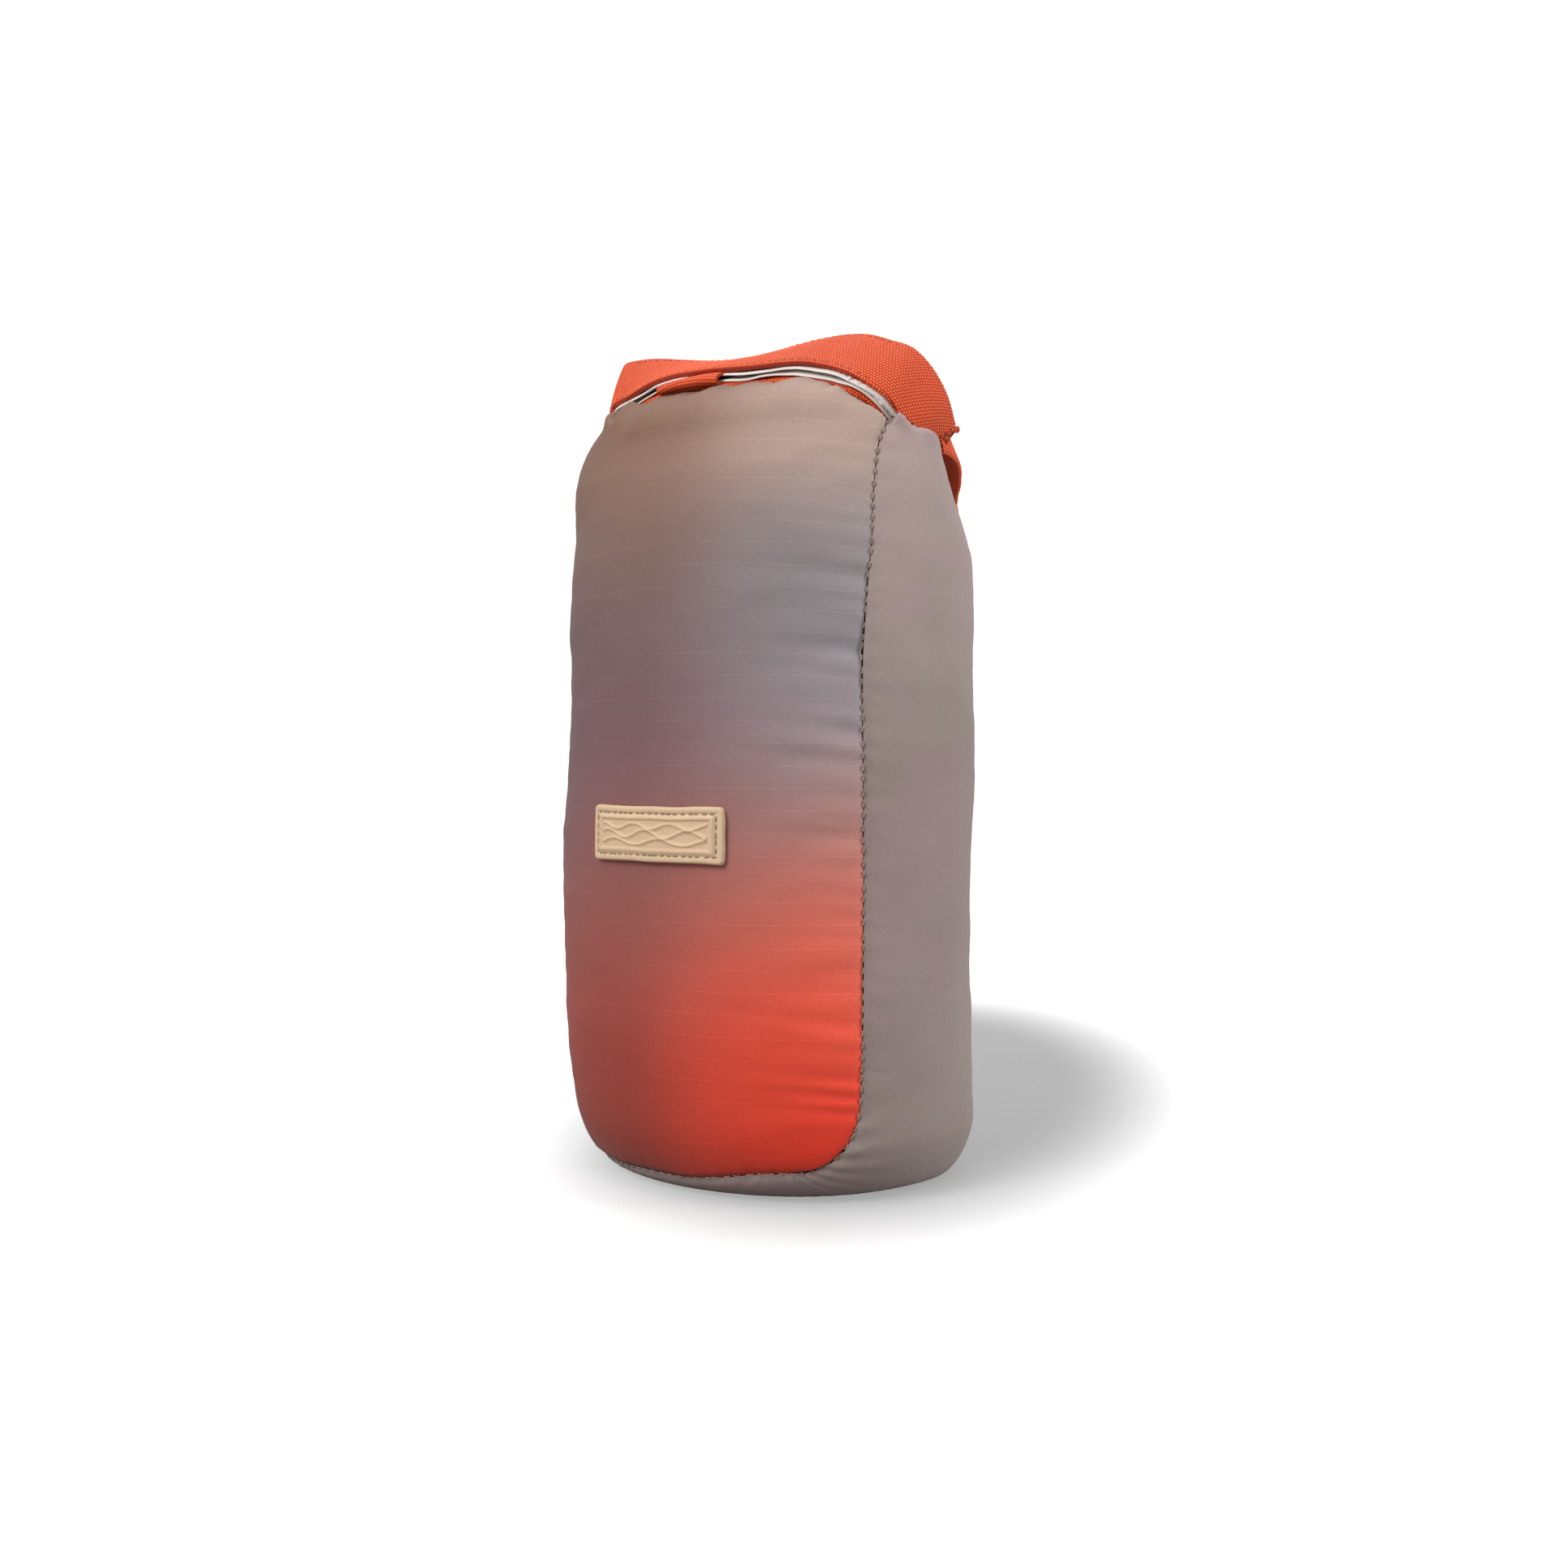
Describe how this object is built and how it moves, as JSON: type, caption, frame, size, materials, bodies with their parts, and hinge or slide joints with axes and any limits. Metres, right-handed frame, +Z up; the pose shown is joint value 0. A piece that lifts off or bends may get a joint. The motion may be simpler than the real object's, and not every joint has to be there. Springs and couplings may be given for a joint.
{
  "type": "camp pillow",
  "caption": "Camp pillow packed in an upright roll-top stuff sack with a folded webbing mouth, a pull tab and a rear side-release buckle.",
  "frame": {"origin": "centre of the flat base of the sack, on the ground", "axes": "+Z up along the sack's length, the printed front panel faces -Y, +X to the right seen from the back, buckle on the +Y side"},
  "size_m": [0.1498, 0.1275, 0.2833],
  "materials": {
    "print_ripstop": "plain-weave ripstop with a printed colour gradient, soft satin finish",
    "taupe_ripstop": "bias-cut taupe ripstop, soft satin finish",
    "seam_thread": "tan polyester sewing thread",
    "patch_rubber": null,
    "orange_webbing": "plain-woven polyester webbing with a slight sheen",
    "orange_thread": "orange polyester sewing thread",
    "grey_facing": "light grey coated facing tape",
    "pillow_knit": "brushed knit pillow cover",
    "foam": "compressed open-cell foam fill",
    "buckle_plastic": "moulded acetal, matt"
  },
  "bodies": {
    "sack": {"front_panel": "print_ripstop", "back_panel": "taupe_ripstop", "gusset_panel": "taupe_ripstop", "front_seam_thread": "seam_thread", "back_seam_thread": "seam_thread", "patch": "patch_rubber", "patch_thread": "seam_thread", "left_band_end": "orange_webbing", "right_band_end": "orange_webbing", "pillow_cover": "pillow_knit", "pillow_fill": "foam"},
    "lip_back": {"back_webbing": "orange_webbing", "back_facing": "grey_facing", "back_webbing_thread": "orange_thread"},
    "lip_front": {"front_webbing": "orange_webbing", "front_facing": "grey_facing", "front_webbing_thread": "orange_thread"},
    "tab": {"pull_tab": "orange_webbing"},
    "rear_loop": {"left_strap": "orange_webbing", "right_strap": "orange_webbing", "left_strap_thread": "orange_thread", "right_strap_thread": "orange_thread", "buckle_female": "buckle_plastic", "buckle_male": "buckle_plastic"},
    "prong_upper": {"buckle_prong_upper": "buckle_plastic"},
    "prong_lower": {"buckle_prong_lower": "buckle_plastic"}
  },
  "joints": [
    {"name": "lip_back_flip", "type": "hinge", "parent": "sack", "child": "lip_back", "pos_m": [0, 0.001, 0.2735], "axis": [-1, 0, 0], "range_deg": [0, 120]},
    {"name": "lip_front_flip", "type": "hinge", "parent": "sack", "child": "lip_front", "pos_m": [0, 0.001, 0.2735], "axis": [-1, 0, 0], "range_deg": [0, 90]},
    {"name": "pull_tab_swing", "type": "hinge", "parent": "lip_front", "child": "tab", "pos_m": [0, -0.02526, 0.26099], "axis": [-1, 0, 0], "range_deg": [0, 75]},
    {"name": "loop_lift", "type": "hinge", "parent": "sack", "child": "rear_loop", "pos_m": [0, 0.016, 0.262], "axis": [1, 0, 0], "range_deg": [0, 80]},
    {"name": "prong_upper_squeeze", "type": "hinge", "parent": "rear_loop", "child": "prong_upper", "pos_m": [-0.0027, 0.05109, 0.24449], "axis": [0, 0.9397, 0.342], "range_deg": [0, 10]},
    {"name": "prong_lower_squeeze", "type": "hinge", "parent": "rear_loop", "child": "prong_lower", "pos_m": [-0.0027, 0.05691, 0.22851], "axis": [0, 0.9397, 0.342], "range_deg": [-10, 0]}
  ],
  "couplings": [
    {"joint": "lip_front_flip", "follows": "lip_back_flip", "ratio": 0.75},
    {"joint": "prong_lower_squeeze", "follows": "prong_upper_squeeze", "ratio": -1}
  ]
}
